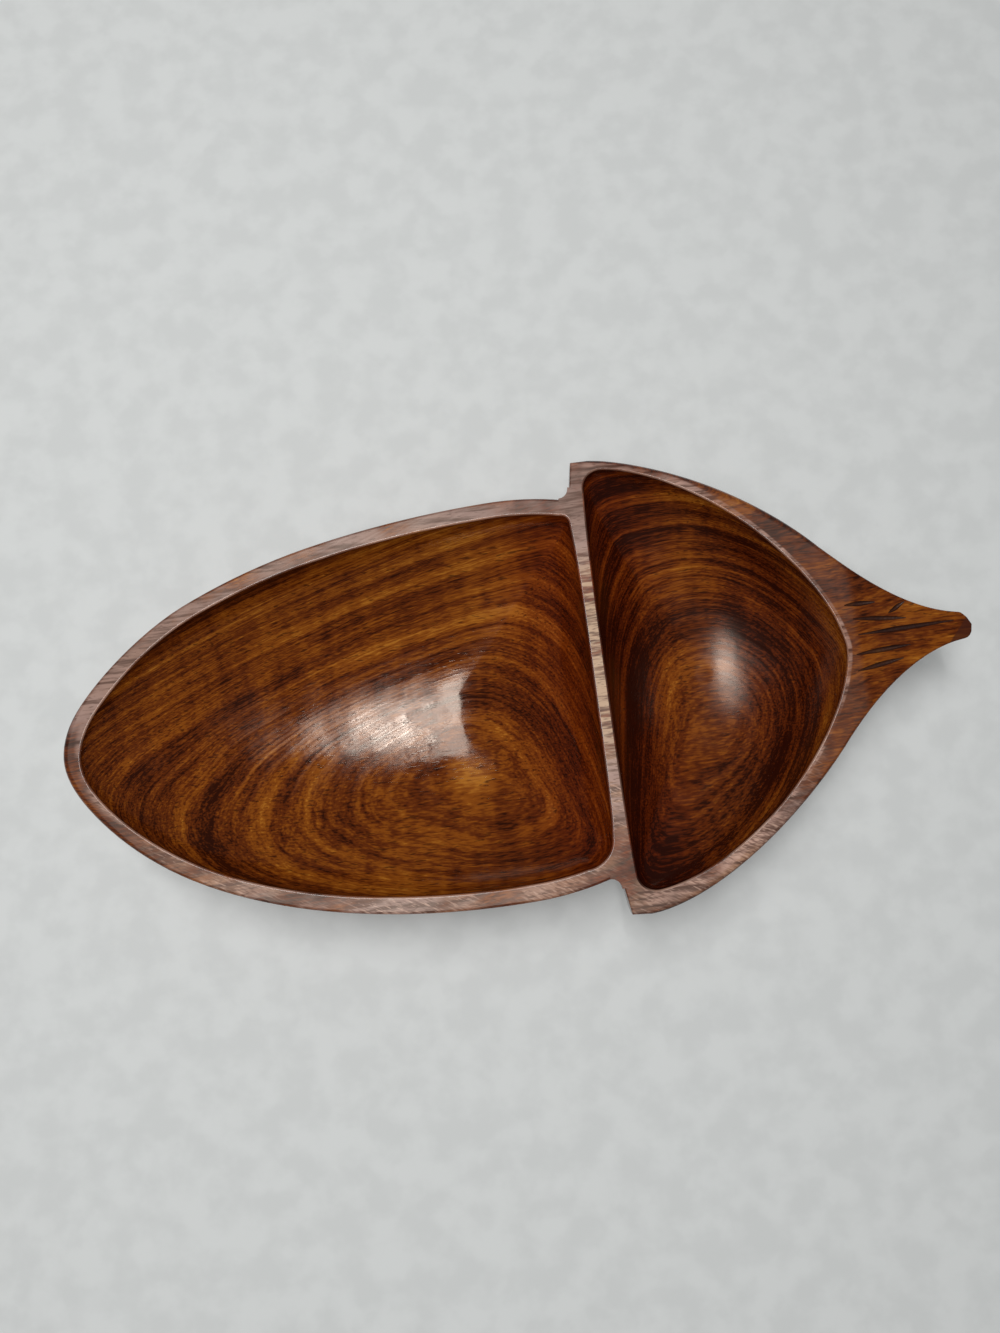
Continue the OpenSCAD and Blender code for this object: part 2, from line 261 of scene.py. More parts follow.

# Colours on the wood: the rim's sandpapered colour with its painted sheen, marks and pores,
# painted highlights and shade on scratches, lips, the stem's facet and in the veins, the divider's
# top, and the tint of the oil's reflection
SANDED_SHEEN_WARM = (0.33, 0.170, 0.100, 1.0)
SANDED_SHEEN_GREY = (0.33, 0.205, 0.170, 1.0)
SANDED_SHEEN_FAR = (0.25, 0.150, 0.125, 1.0)
WARM_STRETCH = (0.34, 0.150, 0.066, 1.0)
SHEEN_BAND = (0.56, 0.34, 0.27, 1.0)
RIM_MARK = (0.085, 0.034, 0.022, 1.0)
RIM_PORE = (0.07, 0.026, 0.016, 1.0)
LIT_SCRATCH = (0.56, 0.355, 0.27, 1.0)
SHADED_SCRATCH = (0.12, 0.052, 0.034, 1.0)
DIVIDER_BEIGE = (0.37, 0.235, 0.20, 1.0)
DIVIDER_GOLDEN = (0.55, 0.37, 0.24, 1.0)
FACET_SHADE = (0.055, 0.014, 0.007, 1.0)
LIP_HIGHLIGHT = (0.46, 0.27, 0.195, 1.0)
GOUGE_SHADE = (0.014, 0.0040, 0.0028, 1.0)
OIL_TINT = (1.0, 0.86, 0.74, 1.0)

# How strongly those colours cover the wood
SHEEN_BAND_COVER = 0.7
CROSS_MARK_COVER = 0.9
FACET_SHADE_COVER = 0.8
RIM_PORE_COVER = 0.65
GOUGE_SHADE_COVER = 0.85
FLOOR_SHADE = 0.93

# Roughness, gloss, and how high the unevenness of the oiled wood stands
LIP_ROUGHNESS = 0.27
GOUGE_ROUGHNESS = 0.42
FLOOR_ROUGHNESS = 0.9
WOOD_GLOSS = 0.44
FLOOR_GLOSS = 0.1
GRAIN_RISE = 0.00013
WAVE_RISE = 0.0006
DENT_RISE = 0.00013

# Bumps: strength and distance
OIL_BUMP = (0.6, 1.0)
LIP_BUMP = (0.4, 0.2 * MM)
GOUGE_BUMP = (0.5, 0.3 * MM)

# Panels of light over the bowl: place, width and length, and strength
PANELS = {
    "near_panel": ((-0.25, -0.10, 1.5), (0.30, 0.70), 15.0),
    "far_panel": ((-0.245, 0.525, 1.5), (0.37, 0.55), 9.5),
    "side_panel": ((-0.018, 0.16, 1.5), (0.034, 0.72), 62.0),
    "gap_panel": ((-0.063, 0.0, 1.5), (0.07, 0.80), 3.0),
}

# The room's own faint light, and the size of the floor
ROOM_COLOUR = (0.93, 0.97, 1.0, 1.0)
ROOM_STRENGTH = 0.07
FLOOR_SIZE = 8

# The camera: its place, what it looks at, its angle across the picture, and its nearest view
CAMERA_PLACE = (-0.0155, -0.0401, 0.4843)
CAMERA_AIM = (-0.0089, 0.0123, 0.054)
CAMERA_ANGLE = 53
CAMERA_NEAREST = 0.01


def length(name, description, default):
    """A length that a user may change, with its default in millimetres"""
    return FloatProperty(name=name, description=description, default=default * MM, unit="LENGTH")


def colour(name, description, default):
    """A colour that a user may change"""
    return FloatVectorProperty(
        name=name, description=description, default=default, subtype="COLOR", size=3, min=0, max=1
    )


class AcornBowlSizes(bpy.types.PropertyGroup):
    """Sizes of the carved bowl"""

    height: length("Height", "Height of the rim over the surface that the bowl rests on", 54)
    nut_floor: length("Nut floor", "Wood under the lowest place of the nut's hollow", 11)
    cap_floor: length("Cap floor", "Wood under the lowest place of the cap's hollow", 13)
    nut_length: length("Nut length", "From the nut's tip to the shoulder", 230.5)
    nut_width: length("Nut width", "Width of the nut at its widest place", 174)
    nut_belly: length("Nut belly", "From the nut's tip to its widest place", 194)
    nut_tail: length("Nut tail", "Length over which the nut's oval closes inside the cap", 109)
    nut_lean: length("Nut lean", "How far the nut leans to the near side", 4.2)
    nut_rim: length("Nut rim", "Width of the nut's rim", 7.3)
    nut_edge: length("Nut edge", "Rounding of the outer edge of the nut's rim", 1.3)
    tip_edge: length("Tip edge", "Rounding of the rim's outer edge round the nut's tip", 3)
    tip_rim: length("Tip rim", "How much wider the rim is round the nut's tip", 1.3)
    nut_low: length("Nut low place", "From the nut's tip to the lowest place of its hollow", 162)
    far_corner: length("Far corner", "Corner radius of the nut's hollow on the far side", 4)
    near_corner: length("Near corner", "Corner radius of the nut's hollow on the near side", 12)
    notch: length("Notch", "Radius in the corner where the nut meets the shoulder", 4.5)
    divider: length("Divider", "Thickness of the divider at the rim", 5.8)
    divider_flare: length("Divider flare", "How much each face of the divider flares", 1.2)
    cap_width: length("Cap width", "Width of the cap at its widest place", 199.2)
    shoulder_inset: length("Shoulder inset", "Shoulder corners inside the widest place", 0.8)
    shoulder_sweep: length("Shoulder sweep", "How far the shoulder's corners lie back", 2.8)
    cap_widest: length("Cap widest", "From the shoulder to the cap's widest place", 11)
    cap_round: length("Cap round", "Length over which the cap's bowl closes", 118.5)
    cap_hollow: length("Cap hollow", "Length of the cap's hollow", 105.2)
    cap_rim: length("Cap rim", "Width of the cap's rim at its sides", 7.6)
    cap_shift: length("Cap shift", "How far the cap's hollow lies off the middle", 2)
    cap_corner: length("Cap corner", "Corner radius of the cap's hollow at the divider", 8)
    cap_low: length("Cap low place", "From the divider to the lowest place of the hollow", 50)
    cap_far_edge: length("Cap far edge", "Roll of the cap's rim on the far side", 4)
    cap_near_edge: length("Cap near edge", "Roll of the cap's rim on the near side", 1.8)
    crisp_edge: length("Crisp edge", "Rounding of the shoulder's and the stem's edges", 0.9)
    stem_reach: length("Stem reach", "From the shoulder to the tip of the stem", 169.5)
    stem_length: length("Stem length", "Length over which the cap flares into the stem", 63)
    stem_end: length("Stem end", "Width of the stem just before its rounded end", 11.5)
    stem_nose: length("Stem nose", "Length of the rounded end of the stem", 4)
    tip_slant: length("Tip slant", "How far the far corner of the stem's end is cut back", 1.7)
    stem_thick: length("Stem thickness", "Thickness of the stem at its tip", 11)
    stem_keel: length("Stem keel", "Height over which the stem's underside curves down", 18)
    stem_fall: length("Stem fall", "How far the stem's upper face falls to its tip", 6)
    stem_lean: length("Stem lean", "How far the stem leans to the far side", 5.9)
    vein_width: length("Vein width", "Width of the carved veins on the stem", 2.4)
    vein_depth: length("Vein depth", "Depth of the carved veins on the stem", 0.9)
    lip: length("Lip", "Rounding of the edge between a hollow and the rim", 0.8)


class AcornWoodLook(bpy.types.PropertyGroup):
    """Colours of the wood and of the floor, with painted shade beside the divider"""

    dark: colour("Dark", "Dark streaks of the wood", (0.026, 0.0042, 0.0011))
    brown: colour("Brown", "Body colour of the wood", (0.112, 0.0215, 0.0028))
    golden: colour("Golden", "Golden bands of the wood", (0.235, 0.062, 0.0052))
    # Red: painted shade on the walls beside the divider, darker and redder; it also reddens the
    # cap's end wall
    red: colour("Red", "Tint of the wood beside the divider", (0.72, 0.46, 0.42))
    flame: colour("Flame", "Brightest streaks of the wood", (0.40, 0.142, 0.015))
    floor: colour("Floor", "Plain floor under the bowl", (0.70, 0.715, 0.705))


def smooth(t):
    t = min(max(t, 0), 1)
    return t * t * (3 - 2 * t)


def signed_power(value, power):
    return math.copysign(abs(value) ** power, value)


def about(centre, p, size):
    """A point drawn in towards a centre, or moved out from it"""
    return (centre[0] + size * (p[0] - centre[0]), centre[1] + size * (p[1] - centre[1]))


def bulge(centre_x, reach, half, power, a):
    """Point on a rounded outline that bulges towards the stem"""
    across = half * signed_power(math.sin(a), 2 / power)
    return (centre_x + reach * abs(math.cos(a)) ** (2 / power), across)


def wall_size(t):
    """Size of a ring of the walls, from the base to the rim"""
    return BASE_SHARE + (1 - BASE_SHARE) * (1 - (1 - t) ** WALL_POWER) ** (1 / WALL_POWER)


def arc(centre, radius, start, end):
    """Points round a corner, from one angle to another, in degrees"""
    points = []
    for k in range(CORNER_STEPS + 1):
        a = math.radians(start + (end - start) * k / CORNER_STEPS)
        points.append((centre[0] + radius * math.cos(a), centre[1] + radius * math.sin(a)))
    return points


def grown(points, amounts):
    """An outline moved outwards, each point by its own amount"""
    moved = []
    count = len(points)
    for i, p in enumerate(points):
        after, before = points[(i + 1) % count], points[i - 1]
        dx, dy = after[0] - before[0], after[1] - before[1]
        far = math.hypot(dx, dy)
        moved.append((p[0] + amounts[i] * dy / far, p[1] - amounts[i] * dx / far))
    return moved


def at_height(points, z):
    return [(p[0], p[1], z) for p in points]


class BowlForm:
    """Outlines and rings of the bowl, measured from the nut's tip"""

    def __init__(self, s):
        self.s = s
        self.shoulder_x = s.nut_length
        self.divider_x = self.shoulder_x + s.divider
        self.widest_x = self.shoulder_x + s.cap_widest
        self.hollow_wide_x = self.divider_x + s.divider_flare + s.cap_corner
        self.hollow_end_x = self.divider_x + s.cap_hollow
        self.tip_x = self.shoulder_x + s.stem_reach
        self.half_length = self.tip_x / 2
        self.join_x = self.tip_x - s.stem_length
        self.tail = self.tip_x - self.hollow_end_x
        self.keel_z = s.height - s.stem_fall - s.stem_thick
        along = (self.join_x - self.widest_x) / s.cap_round
        self.join_a = math.acos(along ** (CAP_POWER / 2))
        self.join_y = self.cap_side(self.join_a)[1]
        self.foot_y = self.nut_half(self.shoulder_x, 1)
        self.hollow_y = s.cap_width / 2 - s.cap_rim

    def middle(self, x):
        """How far the bowl's middle line lies to the far side at a place along it"""
        s = self.s
        along = (x - self.shoulder_x) / s.stem_reach
        stem = s.stem_lean * smooth(
            (along - LEAN_START_SHARE) / (LEAN_END_SHARE - LEAN_START_SHARE)
        )
        back = max(0, self.shoulder_x - x) / (s.nut_length * NUT_LEAN_SHARE)
        return stem - s.nut_lean * math.sin(math.pi / 2 * min(1, back))

    def on_middle(self, points):
        return [(x, y + self.middle(x)) for x, y in points]

    def pinch(self, a):
        """Share by which the nut's oval is narrowed towards its tip"""
        if math.sin(a) > 0:
            return sum(
                share * smooth((math.degrees(a) - start) / turn)
                for share, start, turn in FAR_PINCHES
            )
        return NEAR_PINCH_SHARE * max(0, -math.cos(a)) ** TIP_PINCH_POWER

    def nut_oval(self, a, drawn_in):
        """Point of the nut's oval, drawn in by a distance, at an angle round its widest place"""
        s = self.s
        reach = (s.nut_belly if math.cos(a) < 0 else s.nut_tail) - drawn_in
        half = (s.nut_width / 2 - drawn_in) * (1 - self.pinch(a))
        return (s.nut_belly + reach * math.cos(a), half * math.sin(a))

    def nut_outline(self):
        turn = 2 * math.pi / OUTLINE_STEPS
        return self.on_middle([self.nut_oval(turn * k, 0) for k in range(OUTLINE_STEPS)])

    def nut_edges(self):
        """Rounding of the rim's outer edge: widest round the near side of the tip"""
        edges = []
        for k in range(OUTLINE_STEPS):
            a = 360 * k / OUTLINE_STEPS
            weight = smooth((a - TIP_EDGE_START) / TIP_EDGE_TURN)
            weight *= smooth((TIP_EDGE_END - a) / TIP_EDGE_TURN)
            edges.append(self.s.nut_edge + (self.s.tip_edge - self.s.nut_edge) * weight)
        return edges

    def nut_half(self, x, size):
        """Half the width of the nut's tail at a place, in a ring of a given size"""
        t = (x - self.s.nut_belly) / (self.s.nut_tail * size)
        return self.s.nut_width / 2 * size * math.sqrt(max(0, 1 - t * t))

    def corner_angle(self, radius):
        s = self.s
        near_x = self.shoulder_x - s.divider_flare - radius - s.nut_belly
        return math.acos(near_x / (s.nut_tail - s.nut_rim))

    def corner_centre(self, radius, side):
        x, y = self.nut_oval(side * self.corner_angle(radius), self.s.nut_rim)
        return (x, y - side * radius)

    def flared_edge(self, x, low, high, towards):
        """Points along one face of the divider, which flares towards both its ends"""
        points = []
        steps = CORNER_STEPS * 2
        for k in range(1, steps):
            y = low + (high - low) * k / steps
            flare = (abs(y) / max(abs(low), abs(high))) ** FLARE_POWER
            points.append((x + towards * self.s.divider_flare * flare, y))
        return points

    def nut_mouth(self):
        """Mouth of the nut's hollow: the oval inside the rim, closed by the divider"""
        s = self.s
        near = self.corner_centre(s.near_corner, -1)
        far = self.corner_centre(s.far_corner, 1)
        start = self.corner_angle(s.far_corner)
        end = 2 * math.pi - self.corner_angle(s.near_corner)
        oval = []
        for k in range(1, OUTLINE_STEPS):
            a = start + (end - start) * k / OUTLINE_STEPS
            from_tip = abs(math.degrees(a) - TIP_RIM_MIDDLE) / TIP_RIM_TURN
            oval.append(self.nut_oval(a, s.nut_rim + s.tip_rim * smooth(1 - from_tip)))
        return self.on_middle(
            arc(near, s.near_corner, -90, 0)
            + self.flared_edge(self.shoulder_x, near[1], far[1], -1)
            + arc(far, s.far_corner, 0, 90)
            + oval
        )

    def cap_side(self, a):
        return bulge(self.widest_x, self.s.cap_round, self.s.cap_width / 2, CAP_POWER, a)

    def stem_half(self, x):
        """Half the width of the stem at a place along it"""
        s = self.s
        along = (x - self.join_x) / s.stem_length
        end = max(0, (x - self.tip_x + s.stem_nose) / s.stem_nose)
        root = (self.join_y - s.stem_end / 2) * max(0, 1 - along) ** STEM_FLARE_POWER
        return (s.stem_end / 2 + root) * math.sqrt(max(0, 1 - end * end))

    def stem_side(self, t):
        x = self.join_x + self.s.stem_length * (1 - abs(t) ** STEM_SPREAD_POWER)
        y = math.copysign(self.stem_half(x), t)
        near_tip = smooth((x - self.tip_x) / (2 * self.s.stem_nose) + 1)
        cut_back = self.s.tip_slant * near_tip * smooth(2 * y / self.s.stem_end)
        return (x - cut_back, y)

    def cap_ring(self, size, stem):
        """A ring round the cap; stem says how much of the stem stands out there"""
        s = self.s
        centre = (self.shoulder_x, 0)
        side_a = math.pi / 2 - self.join_a
        ring = []
        for k in range(SIDE_STEPS):
            a = side_a * k / SIDE_STEPS - math.pi / 2
            ring.append(about(centre, self.cap_side(a), size))
        for k in range(NOSE_STEPS + 1):
            t = 2 * k / NOSE_STEPS - 1
            bowl = about(centre, self.cap_side(t * self.join_a), size)
            tail = about(centre, self.stem_side(t), size + (1 - size) * (1 - abs(t)))
            ring.append(tuple(b + stem * (q - b) for b, q in zip(bowl, tail)))
        for k in range(1, SIDE_STEPS + 1):
            a = self.join_a + side_a * k / SIDE_STEPS
            ring.append(about(centre, self.cap_side(a), size))
        shoulder_y = s.cap_width / 2 - s.shoulder_inset
        for x, y in (
            (s.shoulder_sweep, shoulder_y),
            (0, self.foot_y),
            (0, -self.foot_y),
            (s.shoulder_sweep, -shoulder_y),
        ):
            ring.append(about(centre, (self.shoulder_x + x, y), size))
        return self.on_middle(ring)

    def cap_edges(self):
        """How far the rim's outer edge rolls over at each point of a ring round the cap"""
        s = self.s
        edges = []
        for x, y in self.cap_ring(1, 1):
            side = s.cap_far_edge if y > 0 else s.cap_near_edge
            from_shoulder = smooth((x - self.shoulder_x - s.shoulder_sweep) / s.cap_widest)
            to_stem = smooth((self.tip_x - x - s.stem_length / 2) / s.stem_length)
            edges.append(s.crisp_edge + (side - s.crisp_edge) * from_shoulder * to_stem)
        return edges

    def cap_mouth(self):
        """Mouth of the cap's hollow: rounded towards the stem, closed by the divider"""
        s = self.s
        widest_x = self.hollow_wide_x
        corner_y = self.hollow_y - s.cap_corner
        reach = self.hollow_end_x - widest_x
        mouth = []
        for k in range(OUTLINE_STEPS + 1):
            a = math.pi * k / OUTLINE_STEPS - math.pi / 2
            mouth.append(bulge(widest_x, reach, self.hollow_y, CAP_HOLLOW_POWER, a))
        mouth += arc((widest_x, corner_y), s.cap_corner, 90, 180)[1:]
        mouth += self.flared_edge(self.divider_x, corner_y, -corner_y, 1)
        mouth += arc((widest_x, -corner_y), s.cap_corner, 180, 270)[:-1]
        return [(x, y + s.cap_shift) for x, y in mouth]

    def rolled_edge(self, outline, edges):
        """Rings that round off the rim's outer edge, by its own amount at each point"""
        rings = []
        for k in range(EDGE_STEPS + 1):
            a = math.pi / 2 * k / EDGE_STEPS
            moved = grown(outline, [-e * (1 - math.cos(a)) for e in edges])
            drop = 1 - math.sin(a)
            rings.append([
                (p[0], p[1], self.s.height - e * drop) for p, e in zip(moved, edges)
            ])
        return rings

    def nut_rings(self):
        outline = self.nut_outline()
        belly = (self.s.nut_belly, 0)
        wall = self.s.height - self.s.tip_edge
        rings = []
        for k in range(WALL_STEPS):
            t = (k / WALL_STEPS) ** WALL_STEP_POWER
            size = wall_size(t)
            rings.append(at_height([about(belly, p, size) for p in outline], wall * t))
        return rings + self.rolled_edge(outline, self.nut_edges())

    def cap_rings(self):
        s = self.s
        wall = s.height - s.cap_far_edge
        keel_from = self.keel_z - s.stem_keel
        levels = [
            (keel_from * (2 * k / WALL_STEPS) ** WALL_STEP_POWER, 0)
            for k in range(WALL_STEPS // 2)
        ]
        for k in range(KEEL_STEPS + 1):
            t = k / KEEL_STEPS
            levels.append((keel_from + s.stem_keel * t, t ** KEEL_POWER))
        for k in range(1, EDGE_STEPS):
            levels.append((self.keel_z + (wall - self.keel_z) * k / EDGE_STEPS, 1))
        rings = [
            at_height(self.cap_ring(wall_size(z / wall), stem), z) for z, stem in levels
        ]
        return rings + self.rolled_edge(self.cap_ring(1, 1), self.cap_edges())

    def hollow_rings(self, mouth, low, reach, depth):
        """The space in a hollow, from its lowest place up past the rim"""
        s = self.s
        turn = math.acos(FLOOR_SHARE)
        rings = []
        for k in range(WALL_STEPS + 1):
            a = turn * (1 - k / WALL_STEPS)
            down = (math.sin(a) / math.sin(turn)) ** (2 / HOLLOW_DOWN_POWER)
            round_off = down ** HOLLOW_ROUND_POWER
            across = math.cos(a) ** (2 / HOLLOW_ACROSS_POWER)
            ring = []
            for p in mouth:
                dx, dy = p[0] - low[0], p[1] - low[1]
                far = math.hypot(dx / (reach[0] if dx < 0 else reach[1]), dy / reach[2])
                x = dx + round_off * (dx / far - dx)
                y = dy + round_off * (dy / far - dy)
                ring.append((low[0] + across * x, low[1] + across * y))
            rings.append(at_height(ring, s.height - s.lip - (depth - s.lip) * down))
        for k in range(1, EDGE_STEPS + 1):
            a = math.pi / 2 * k / EDGE_STEPS
            lip = grown(mouth, [s.lip * (1 - math.cos(a))] * len(mouth))
            rings.append(at_height(lip, s.height - s.lip * (1 - math.sin(a))))
        rings.append(at_height(grown(mouth, [s.lip] * len(mouth)), s.height + s.nut_rim))
        return rings

    def nut_hollow(self):
        s = self.s
        low = (s.nut_low, self.middle(s.nut_low))
        side = (s.nut_width / 2 - s.nut_rim) * NUT_ROUND_SHARE
        reach = (s.nut_low - s.nut_rim, self.shoulder_x - s.nut_low, side)
        return self.hollow_rings(self.nut_mouth(), low, reach, s.height - s.nut_floor)

    def cap_hollow(self):
        s = self.s
        low = (self.divider_x + s.cap_low, s.cap_shift)
        reach = (s.cap_low, s.cap_hollow - s.cap_low, self.hollow_y * CAP_ROUND_SHARE)
        return self.hollow_rings(self.cap_mouth(), low, reach, s.height - s.cap_floor)

    def notch_rings(self, side):
        """Hollow corner between the nut's side and the shoulder, following both down"""
        radius = self.s.notch
        start_x = self.shoulder_x - radius
        end_x = self.shoulder_x + radius
        rings = []
        for k in range(WALL_STEPS + 1):
            t = (k / WALL_STEPS) ** WALL_STEP_POWER
            foot = self.nut_half(start_x, wall_size(t))
            section = arc((start_x, foot + radius), radius, 0, -90) + [
                (start_x, foot - radius),
                (end_x, foot - radius),
                (end_x, foot + radius),
            ]
            rings.append(at_height([(x, side * y) for x, y in section], self.s.height * t))
        return rings

    def sag(self, x):
        """How far the stem's upper face has fallen at a place along it"""
        reach = x - self.hollow_end_x
        blend = self.s.stem_nose
        slope = self.s.stem_fall / self.tail
        if reach < -blend:
            return 0
        if reach < blend:
            return slope * (reach + blend) ** 2 / (4 * blend)
        return slope * reach

    def vein_rings(self, shares):
        """A pointed cutter along one vein"""
        s = self.s
        ball = s.vein_width / 2
        rings = []
        for k in range(VEIN_STEPS + 1):
            t = k / VEIN_STEPS
            size = VEIN_END_SHARE + (1 - VEIN_END_SHARE) * math.sin(math.pi * t)
            along = shares[0] + (shares[2] - shares[0]) * t
            x = self.hollow_end_x + self.tail * along
            across = shares[1] + (shares[3] - shares[1]) * t
            y = self.middle(x) + self.join_y * across
            z = s.height - self.sag(x) + (ball - s.vein_depth) * size
            ring = []
            for j in range(VEIN_CORNERS):
                a = 2 * math.pi * j / VEIN_CORNERS
                ring.append((x, y + ball * size * math.cos(a), z + ball * size * math.sin(a)))
            rings.append(ring)
        return rings


def only(piece):
    """Select one piece and nothing else"""
    bpy.ops.object.select_all(action="DESELECT")
    piece.select_set(True)
    bpy.context.view_layer.objects.active = piece


def place_selected(mesh, places, ring):
    """Put the selected corners on a ring, each on the point that its place stands for"""
    shape = bmesh.from_edit_mesh(mesh)
    found = {}
    for corner in [v for v in shape.verts if v.select]:
        i = places[tuple(corner.co)]
        corner.co = ring[i]
        found[tuple(corner.co)] = i
    bmesh.update_edit_mesh(mesh)
    return found


def loft(name, rings, shift, *materials):
    """Draw a disc out through rings of points, as a closed solid of the materials"""
    rings = [[Vector((x - shift, y, z)) for x, y, z in ring] for ring in rings]
    bpy.ops.object.select_all(action="DESELECT")
    bpy.ops.mesh.primitive_circle_add(vertices=len(rings[0]), radius=MM, fill_type="NGON")
    piece = bpy.context.object
    piece.name = piece.data.name = name
    bpy.ops.object.mode_set(mode="EDIT")
    bpy.ops.mesh.select_mode(type="VERT")
    bpy.ops.mesh.select_all(action="SELECT")
    disc = bmesh.from_edit_mesh(piece.data)
    disc.faces.ensure_lookup_table()
    places = {tuple(v.co): i for i, v in enumerate(disc.faces[0].verts)}
    places = place_selected(piece.data, places, rings[0])
    for ring in rings[1:]:
        bpy.ops.mesh.extrude_region_move()
        places = place_selected(piece.data, places, ring)
    bpy.ops.mesh.select_all(action="SELECT")
    bpy.ops.mesh.normals_make_consistent(inside=False)
    bpy.ops.object.mode_set(mode="OBJECT")
    for material in materials:
        piece.data.materials.append(material)
    return piece


def combine(piece, tool, operation):
    """Join another solid to the piece, or cut it out, and drop the tool"""
    only(piece)
    step = piece.modifiers.new(tool.name, "BOOLEAN")
    step.object = tool
    step.operation = operation
    step.solver = "EXACT"
    step.material_mode = "TRANSFER"
    bpy.ops.object.modifier_apply(modifier=step.name)
    bpy.data.objects.remove(tool)


def cut_across(piece, place, direction):
    """Cut the faces of the whole piece at a plane, and keep both sides"""
    only(piece)
    bpy.ops.object.mode_set(mode="EDIT")
    bpy.ops.mesh.select_all(action="SELECT")
    bpy.ops.mesh.bisect(plane_co=place, plane_no=direction, threshold=CUT_TOLERANCE)
    bpy.ops.object.mode_set(mode="OBJECT")


def sloping_stem(cap, form):
    """Let the stem's upper face fall towards its tip, from a soft fold at the hollow's end"""
    s = form.s
    half = form.half_length
    for share in FOLD_SHARES:
        cut_across(cap, (form.hollow_end_x + share * s.stem_nose - half, 0, 0), (1, 0, 0))
    only(cap)
    bpy.ops.object.mode_set(mode="EDIT")
    shape = bmesh.from_edit_mesh(cap.data)
    upper = s.height - form.keel_z
    for corner in shape.verts:
        over = (corner.co.z - form.keel_z) / upper
        if over > 0:
            corner.co.z -= form.sag(corner.co.x + half) * over
    bmesh.update_edit_mesh(cap.data)
    bpy.ops.object.mode_set(mode="OBJECT")


def finish_surface(piece):
    """Shade the curves smoothly, and keep the flat rim flat"""
    only(piece)
    bpy.ops.object.mode_set(mode="EDIT")
    bpy.ops.mesh.select_all(action="SELECT")
    bpy.ops.mesh.remove_doubles(threshold=MERGE_DISTANCE)
    bpy.ops.mesh.normals_make_consistent(inside=False)
    bpy.ops.object.mode_set(mode="OBJECT")
    bpy.ops.object.shade_smooth_by_angle(angle=math.radians(SMOOTH_ANGLE))
    step = piece.modifiers.new("Flat rim", "WEIGHTED_NORMAL")
    step.keep_sharp = True
    bpy.ops.object.modifier_apply(modifier=step.name)


# Sockets of a Mix node that mixes colours, which share their names with its other sockets
MIX_INPUTS = (0, 6, 7)
MIX_OUTPUT = 2


def socket(group, name, kind, way, default=None):
    made = group.interface.new_socket(name=name, in_out=way, socket_type="NodeSocket" + kind)
    if default is not None:
        made.default_value = default


class Nodes:
    """Short calls that place nodes in one tree and join them up"""

    def __init__(self, tree):
        self.tree = tree

    def add(self, kind, inputs=None, **settings):
        node = self.tree.nodes.new(kind)
        for key, value in settings.items():
            setattr(node, key, value)
        for key, value in (inputs or {}).items():
            self.feed(node.inputs[key], value)
        return node

    def feed(self, target, value):
        if isinstance(value, bpy.types.NodeSocket):
            self.tree.links.new(value, target)
        else:
            target.default_value = value

    def maths(self, operation, *values):
        node = self.add("ShaderNodeMath", operation=operation)
        for i, value in enumerate(values):
            self.feed(node.inputs[i], value)
        return node.outputs[0]

    def total(self, *values):
        result = values[0]
        for value in values[1:]:
            result = self.maths("ADD", result, value)
        return result

    def times(self, *values):
        result = values[0]
        for value in values[1:]:
            result = self.maths("MULTIPLY", result, value)
        return result

    def inverse(self, value):
        return self.maths("SUBTRACT", 1.0, value)

    def centred(self, noise):
        """Noise moved to lie evenly about zero"""
        return self.maths("SUBTRACT", noise, 0.5)

    def away(self, value, place):
        """Distance from a place along one axis"""
        return self.maths("ABSOLUTE", self.maths("SUBTRACT", value, place))

    def along(self, x, y, direction):
        """Place along a direction in plan"""
        return self.total(self.times(x, direction[0]), self.times(y, direction[1]))

    def vector(self, x, y, z):
        return self.add("ShaderNodeCombineXYZ", {"X": x, "Y": y, "Z": z}).outputs[0]

    def distance(self, x, y, centre):
        """Distance in plan from a centre"""
        moved = [self.maths("ADD", axis, -middle) for axis, middle in zip((x, y), centre)]
        node = self.add("ShaderNodeVectorMath", {0: self.vector(*moved, 0.0)}, operation="LENGTH")
        return node.outputs["Value"]

    def axes(self, place):
        node = self.add("ShaderNodeSeparateXYZ", {"Vector": place})
        return tuple(node.outputs)

    def noise(self, vector, scale, detail):
        node = self.add(
            "ShaderNodeTexNoise", {"Vector": vector, "Scale": scale, "Detail": detail}
        )
        return node.outputs["Fac"]

    def stretched(self, axes, scales, detail):
        """Noise with its own scale along each axis"""
        spread = [self.times(axis, scale) for axis, scale in zip(axes, scales)]
        return self.noise(self.vector(*spread), 1.0, detail)

    def span(self, value, low, high, to_low=0.0, to_high=1.0):
        """A soft change from one value to another between two limits"""
        node = self.add("ShaderNodeMapRange", interpolation_type="SMOOTHSTEP")
        for i, given in enumerate((value, low, high, to_low, to_high)):
            self.feed(node.inputs[i], given)
        return node.outputs[0]

    def fade(self, name, value):
        return self.span(value, *FADES[name])

    def blend(self, factor, first, second, kind="MIX"):
        node = self.add("ShaderNodeMix", data_type="RGBA", blend_type=kind)
        for i, value in zip(MIX_INPUTS, (factor, first, second)):
            self.feed(node.inputs[i], value)
        return node.outputs[MIX_OUTPUT]

    def bump(self, height, strength, distance):
        settings = {"Strength": strength, "Distance": distance, "Height": height}
        return self.add("ShaderNodeBump", settings).outputs[0]


def rgba(value):
    return (value[0], value[1], value[2], 1.0)


def growth_layer(n, place, axes, tilts):
    """Depth in the growth layers, a gently bent and tilted stack, with its own unevenness"""
    x, y, z = axes
    bends = [n.times(x, x), n.times(x, y), n.times(y, y)]
    twists = [n.times(axis, bend) for bend in (bends[0], bends[2]) for axis in (x, y)]
    terms = (x, y, *bends, *twists)
    layer = z
    for term, amount in zip(terms, (*tilts, *LAYER_BENDS, *LAYER_TWISTS)):
        layer = n.total(layer, n.times(term, amount))
    for scale, detail, depth in LAYER_WAVES:
        layer = n.total(layer, n.times(n.centred(n.noise(place, scale, detail)), depth))
    return layer


